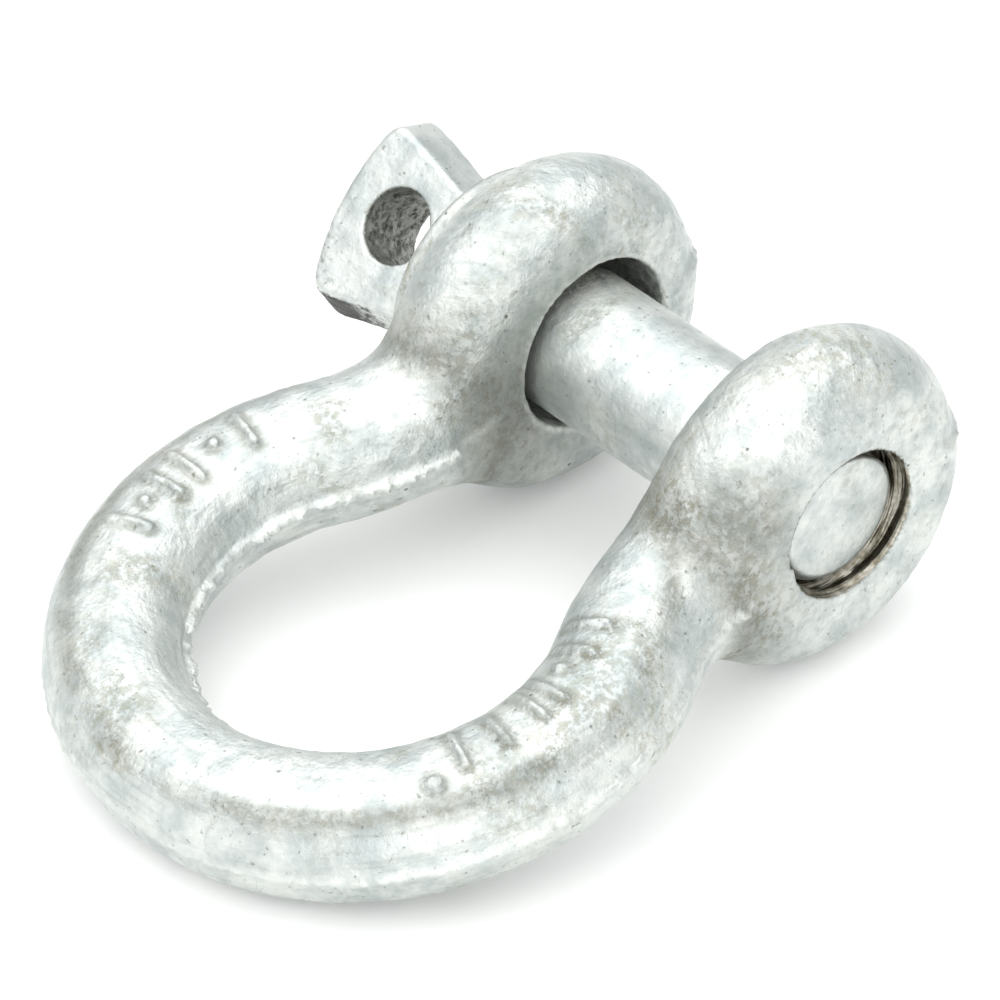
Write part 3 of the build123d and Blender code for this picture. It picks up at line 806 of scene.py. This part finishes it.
    # sooty where a wrench has rubbed one corner, painted shade in the hole, round the tab's root, on the
    # shank inside the eye and on the collar's seat, bare steel on the thread
    inHole = addNode(tree, "ShaderNodeMapRange", {"Value": hole, "From Min": -0.2, "From Max": -0.03})
    rubbedAndHoleShade = addNode(tree, "ShaderNodeMath", {0: xyz["Y"], 1: across}, operation="ADD")
    rubbedAndHoleShade = addNode(tree, "ShaderNodeMapRange",
                     {"Value": rubbedAndHoleShade, "From Min": given["Soot From"], "From Max": given["Soot To"]})
    foreSide = addNode(tree, "ShaderNodeMapRange",
                       {"Value": signedThrough, "From Min": -3.0, "From Max": -1.0, "To Min": 0.35})
    rubbedAndHoleShade = addNode(tree, "ShaderNodeMath", {0: rubbedAndHoleShade, 1: foreSide}, operation="MULTIPLY")
    onEdge = addNode(tree, "ShaderNodeMapRange", {"Value": faces, "From Min": 0.1, "From Max": -0.5})
    rubbedAndHoleShade = addNode(tree, "ShaderNodeMath", {0: rubbedAndHoleShade, 1: onEdge}, operation="MULTIPLY")
    # painted shade round the tab's root, in the hole, on the shank inside the eye and on the collar's seat
    besideCollar = addNode(tree, "ShaderNodeMath", {0: grown, 1: 1.75}, operation="SUBTRACT")
    besideCollar = addNode(tree, "ShaderNodeMath", {0: besideCollar}, operation="ABSOLUTE")
    root = addNode(tree, "ShaderNodeMapRange",
                   {"Value": besideCollar, "From Min": 0.9, "From Max": 0.3, "To Max": 0.5})
    root = addNode(tree, "ShaderNodeMath", {0: root, 1: inHole}, operation="MAXIMUM")
    inEye = addNode(tree, "ShaderNodeMapRange", {"Value": xyz["Y"], "From Min": 8.6, "From Max": 11.2})
    offCollar = addNode(tree, "FunctionNodeCompare", {0: xyz["Y"], 1: 18.3}, operation="LESS_THAN")
    inEye = addNode(tree, "ShaderNodeMath", {0: inEye, 1: offCollar}, operation="MULTIPLY")
    root = addNode(tree, "ShaderNodeMath", {0: root, 1: inEye}, operation="MAXIMUM")
    onSeat = addNode(tree, "ShaderNodeMapRange",
                     {"Value": xyz["Y"], "From Min": 19.7, "From Max": 18.7, "To Max": 0.7})
    collarRim = addNode(tree, "FunctionNodeCompare", {0: radial, 1: 8.0}, operation="GREATER_THAN")
    onSeat = addNode(tree, "ShaderNodeMath", {0: collarRim, 1: onSeat}, operation="MULTIPLY")
    root = addNode(tree, "ShaderNodeMath", {0: root, 1: onSeat}, operation="MAXIMUM")
    # painted shade in the hole, laid in the soot colour
    inside = addNode(tree, "ShaderNodeMath", {0: inHole, 1: 0.38}, operation="MULTIPLY")
    rubbedAndHoleShade = addNode(tree, "ShaderNodeMath", {0: rubbedAndHoleShade, 1: inside}, operation="MAXIMUM")
    pastShank = addNode(tree, "FunctionNodeCompare", {0: xyz["Y"], 1: given["Shank Start"]},
                        operation="LESS_THAN")
    offTip = addNode(tree, "FunctionNodeCompare", {0: radial, 1: 4.45}, operation="GREATER_THAN")
    bare = addNode(tree, "FunctionNodeBooleanMath", {0: pastShank, 1: offTip}, operation="AND")
    pastTip = addNode(tree, "ShaderNodeMath", {0: xyz["Y"], 1: given["Tip"]}, operation="SUBTRACT")
    pastTip = addNode(tree, "FunctionNodeCompare", {0: pastTip, 1: given["Bare Thread"]},
                      operation="GREATER_THAN")
    bare = addNode(tree, "FunctionNodeBooleanMath", {0: bare, 1: pastTip}, operation="AND")
    alongBar = addNode(tree, "ShaderNodeCombineXYZ", {"X": xyz["Y"], "Y": xyz["X"], "Z": xyz["Z"]})

    fields = {"sootAndHoleShade": rubbedAndHoleShade, "shadeAndDirt": root, "bare": bare, "alongBar": alongBar}
    finishTree(tree, given, out, skin, rise, fields)
    return tree


pinPiece = runTree(pinTree(), pin, bpy.data.meshes.new("pinHost"), "screw_pin_forging")
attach(pinPiece, "screw_pin")
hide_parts("screw_pin")
print("screw pin:", len(pinPiece.data.polygons), "faces")

# stage, light and camera

studio = {
    "floorColour": "#e3e3e2",
    "floorGlow": 0.14,
    "worldColour": "#dbdddd",
    "worldStrength": 0.93,
    "overhead": {"place": (-0.02, 0.05, 0.60), "size": (1.4, 1.4), "watts": 9.6},
    "leftSide": {"place": (-0.60, 0.15, 0.35), "size": (0.4, 0.5), "watts": 0.8},
    "frontFill": {"place": (-0.35, -0.75, 0.18), "size": (0.6, 0.4), "watts": 2.2},
}
floorMesh = bpy.data.meshes.new("floor")
corners = [(x * 1.5, y * 1.5, cadLow.z) for x, y in ((-1, -1), (1, -1), (1, 1), (-1, 1))]
floorMesh.from_pydata(corners, [], [(0, 1, 2, 3)])
floor = bpy.data.objects.new("floor", floorMesh)
bpy.context.scene.collection.objects.link(floor)
paper = bpy.data.materials.new("whitePaper")
paper.use_nodes = True
paperShader = paper.node_tree.nodes["Principled BSDF"]
paperShader.inputs["Base Color"].default_value = hexColour(studio["floorColour"])
paperShader.inputs["Roughness"].default_value = 0.9
paperShader.inputs["Emission Color"].default_value = (1.0, 1.0, 1.0, 1.0)
paperShader.inputs["Emission Strength"].default_value = studio["floorGlow"]
floorMesh.materials.append(paper)

world = bpy.data.worlds.new("studio")
bpy.context.scene.world = world
world.use_nodes = True
world.node_tree.nodes["Background"].inputs["Color"].default_value = hexColour(studio["worldColour"])
world.node_tree.nodes["Background"].inputs["Strength"].default_value = studio["worldStrength"]

for name in ("overhead", "leftSide", "frontFill"):
    box = studio[name]
    light = bpy.data.lights.new(name, "AREA")
    light.shape = "RECTANGLE"
    light.size, light.size_y = box["size"]
    light.energy = box["watts"]
    lamp = bpy.data.objects.new(name, light)
    lamp.location = box["place"]
    lamp.rotation_mode = "QUATERNION"
    lamp.rotation_quaternion = (Vector((-0.02, 0, 0)) - Vector(box["place"])).to_track_quat("-Z", "Y")
    bpy.context.scene.collection.objects.link(lamp)

camera = {
    "target": (-15.8, 0.95, -0.57),
    "azimuth": -42.1,
    "elevation": 39.3,
    "roll": -0.2,
    "distance": 598.0,
    "lens": 307.0,
}
a, e = math.radians(camera["azimuth"]), math.radians(camera["elevation"])
back = Vector((math.sin(a) * math.cos(e), -math.cos(a) * math.cos(e), math.sin(e)))
lensData = bpy.data.cameras.new("camera")
lensData.lens = camera["lens"]
lensData.sensor_width = 36
lensData.clip_start = 0.05
cameraObject = bpy.data.objects.new("camera", lensData)
cameraObject.rotation_mode = "QUATERNION"
cameraObject.location = (Vector(camera["target"]) + back * camera["distance"]) * 0.001
roll = Matrix.Rotation(math.radians(camera["roll"]), 3, "Z").to_quaternion()
cameraObject.rotation_quaternion = (-back).to_track_quat("-Z", "Y") @ roll
bpy.context.scene.collection.objects.link(cameraObject)
bpy.context.scene.camera = cameraObject
bpy.context.scene.view_settings.view_transform = "Standard"
print("studio set")
